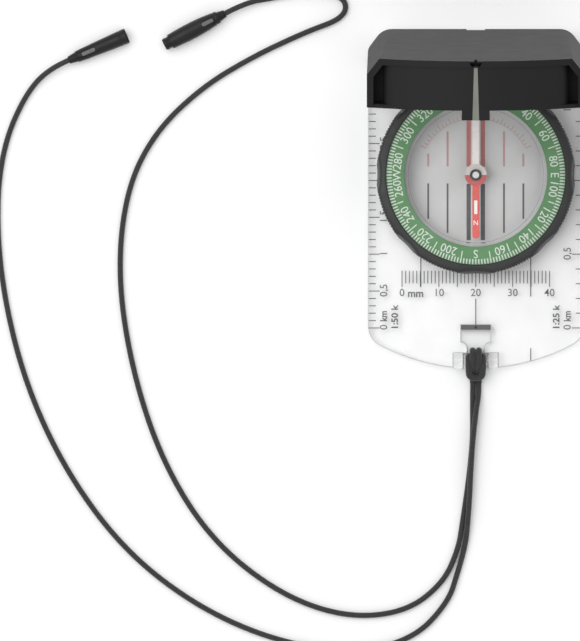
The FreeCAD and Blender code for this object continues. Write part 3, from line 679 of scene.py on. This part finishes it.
SPIGOT = [
    (0, 0), (0.9, 0.0), (1.0, 0.15), (1.12, 0.9), (1.3, 1.9), (1.4, 2.05), (1.62, 2.3), (1.68, 2.6),
    (1.7, 2.95), (1.64, 3.05), (1.64, 3.25), (1.74, 3.35), (1.92, 5.0), (2.1, 7.0), (2.2, 9.5),
    (2.2, 12.0), (2.1, 14.5), (2.02, 16.3), (1.95, 16.7),
    (1.62, 16.8), (1.6, 17.1), (1.5, 17.2), (1.5, 17.5), (1.6, 17.6), (1.6, 18.3), (1.35, 18.6),
    (0, 18.6),
]
SOCKET = [
    (0, 0), (0.9, 0.0), (1.0, 0.15), (1.1, 1.0), (1.3, 2.2), (1.45, 2.5), (1.52, 2.7), (1.62, 4.5),
    (1.75, 7.5), (1.88, 11.0), (2.0, 14.6), (2.05, 15.2), (1.98, 15.3), (1.98, 15.6), (2.05, 15.7),
    (2.05, 16.95), (1.93, 17.2), (1.78, 17.2), (1.65, 17.0), (1.65, 14.3), (0, 14.2),
]


def radius_along(profile, along):
    """A turned part's radius at a distance along it."""
    for (first, start), (second, end) in zip(profile, profile[1:]):
        if start <= along <= end and end > start:
            return first + (second - first) * (along - start) / (end - start)
    return 0.0


PATCH_HALF = 0.5
PATCH_STEPS = 24


def label_patch(name, profile, start, end, place):
    """A plain pale patch that follows a connector's upper side."""
    mesh = bmesh.new()
    rows = []
    for step in range(PATCH_STEPS + 1):
        along = start + (end - start) * step / PATCH_STEPS
        radius = radius_along(profile, along) + PRINT_GAP
        rounded = min(1.0, 0.6 + 0.4 * min(step, PATCH_STEPS - step) / 2)
        half = PATCH_HALF / radius * rounded
        angles = [math.pi / 2 + half * (across / 4 - 1) for across in range(9)]
        rows.append([(radius * math.cos(a), radius * math.sin(a), along) for a in angles])
    ring_strip(mesh, rows, closed_columns=False)
    piece(name, mesh, "base", INKS["label"], place)


def connectors():
    """The two halves of the release connector, each with a plain pale patch."""
    made = {}
    for name, profile, route, node, patch in (
            ("spigot_half", SPIGOT, LEFT_ROUTE, "connector_spigot", (3.7, 7.0)),
            ("socket_half", SOCKET, RIGHT_ROUTE, "connector_socket", (3.9, 7.7))):
        place = along_route_end(route)
        label_patch(f"{name}_label", profile, *patch, place)
        half = piece(name, turned(profile, 72, seam), "base",
                     LOOKS["connector_black"], place, 50)
        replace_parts(half, node)
        made[name] = half
    return made


# ---------------------------------------------------------------- floor, light and camera

def floor():
    """A wide pale floor that the compass lies on."""
    look = Look("floor", Specular_IOR_Level=0.2)
    look.set(Base_Color=look.mix(look.remap(look.noise(60.0, 3), 0, 1), tone(250, 250, 250),
                                 tone(252, 252, 252)),
             Roughness=look.remap(look.noise(30.0, 2), 0.7, 0.8))
    bpy.ops.mesh.primitive_plane_add(size=8.0)
    ground = bpy.context.object
    ground.name = "floor"
    ground.location.z = cad_box[0].z - 0.02 * MM
    ground.data.materials.append(look.material)


LAMP_PLACE = Vector((-0.4, 0.25, 1.0))
LAMP_AIM = Vector((-0.05, -0.02, 0))


def lights():
    """A white surround that dims towards the horizon, with one wide lamp high on the left."""
    world = bpy.data.worlds.new("surround")
    world.use_nodes = True
    made, links = world.node_tree.nodes, world.node_tree.links
    background = made["Background"]
    split = made.new("ShaderNodeSeparateXYZ")
    links.new(made.new("ShaderNodeTexCoord").outputs["Generated"], split.inputs["Vector"])
    rise = made.new("ShaderNodeMapRange")
    rise.inputs["From Max"].default_value = 0.35
    rise.inputs["To Min"].default_value = 0.5
    rise.inputs["To Max"].default_value = 0.82
    links.new(split.outputs["Z"], rise.inputs["Value"])
    links.new(rise.outputs["Result"], background.inputs["Strength"])
    background.inputs["Color"].default_value = (1, 1, 1, 1)
    scene.world = world
    lamp = bpy.data.lights.new("key", "AREA")
    lamp.shape = "SQUARE"
    lamp.size = 0.9
    lamp.energy = 5.0
    holder = bpy.data.objects.new("key", lamp)
    holder.location = LAMP_PLACE
    holder.rotation_euler = (LAMP_AIM - LAMP_PLACE).to_track_quat("-Z", "Y").to_euler()
    scene.collection.objects.link(holder)


CAMERA_PLACE = Vector((0.0, 0.02, 7.0))
FRAME_TALL = 0.1739         # how much of the floor the picture's height takes in
FRAME_MIDDLE = Vector((-0.0504, -0.0395, 0))


def camera():
    """A long lens far above the dial, aimed at the middle of the photograph's frame."""
    lens = bpy.data.cameras.new("camera")
    lens.sensor_width = 36.0
    lens.lens = lens.sensor_width * CAMERA_PLACE.z / FRAME_TALL
    lens.clip_start = 1.0
    lens.clip_end = 20.0
    holder = bpy.data.objects.new("camera", lens)
    holder.location = CAMERA_PLACE
    back = (CAMERA_PLACE - FRAME_MIDDLE).normalized()
    right = Vector((0, 1, 0)).cross(back).normalized()
    up = back.cross(right)
    holder.rotation_euler = Matrix((right, up, back)).transposed().to_euler()
    scene.collection.objects.link(holder)
    scene.camera = holder


# ---------------------------------------------------------------- assembly

def dress_nodes():
    """Give each CAD node that stays the look of its material slot."""
    for subpart in frame["record"]["subparts"]:
        look = LOOKS[subpart["material_slot"]].material
        materials = nodes[subpart["node"]].data.materials
        materials.clear()
        materials.append(look)


def frost_sides(node, look):
    """Give a clear plate's upright faces the duller look of sawn and moulded edges."""
    mesh = nodes[node].data
    mesh.materials.append(look.material)
    for face in mesh.polygons:
        if abs(face.normal.z) < 0.5 and face.center.z < PLATE_TOP * MM:
            face.material_index = len(mesh.materials) - 1


def round_edges(node, width, edge_shade_look=None, clamp=True):
    """Break a CAD node's sharp edges by width millimetres, in a painted-shade look of their own if one is given.
    """
    thing = nodes[node]
    weld = thing.modifiers.new("weld", "WELD")
    weld.merge_threshold = 0.0005 * MM
    flatten = thing.modifiers.new("flatten", "DECIMATE")
    flatten.decimate_type = "DISSOLVE"
    flatten.angle_limit = math.radians(0.5)
    bevel = thing.modifiers.new("bevel", "BEVEL")
    bevel.width = width * MM
    bevel.segments = 2
    bevel.use_clamp_overlap = clamp
    bevel.limit_method = "ANGLE"
    bevel.angle_limit = math.radians(38)
    if edge_shade_look:
        thing.data.materials.append(edge_shade_look.material)
        bevel.material = len(thing.data.materials) - 1
    thing.modifiers.new("normals", "WEIGHTED_NORMAL").keep_sharp = True


# Opaque grey for the baseplate's bevels: painted shade for the dark line along a clear plate's edges.
EDGE_SHADE_LOOK = moulded("clear_edge_shade", tone(196, 196, 196), tone(206, 206, 206), (0.2, 0.35), 0.3, 0.01)

SIDE_LOOK = clear("clear_side", tone(238, 240, 240), tone(226, 229, 229), (0.2, 0.35), through=0.45)

dress_nodes()
frost_sides("baseplate", SIDE_LOOK)
round_edges("baseplate", 0.22, EDGE_SHADE_LOOK, clamp=False)
round_edges("lid_shell", 0.2)
plate_scales()
catch_dot()
grip_ring()
dial_marks()
meridian_lines()
declination_marks()
needle_marks()
mirror_line()
halves = connectors()
knot = hitch_knot()
strand("lanyard_left", LEFT_ROUTE, "lanyard_cord_left")
strand("lanyard_right", RIGHT_ROUTE, "lanyard_cord_right")
floor()
lights()
camera()
scene.view_settings.view_transform = "Standard"
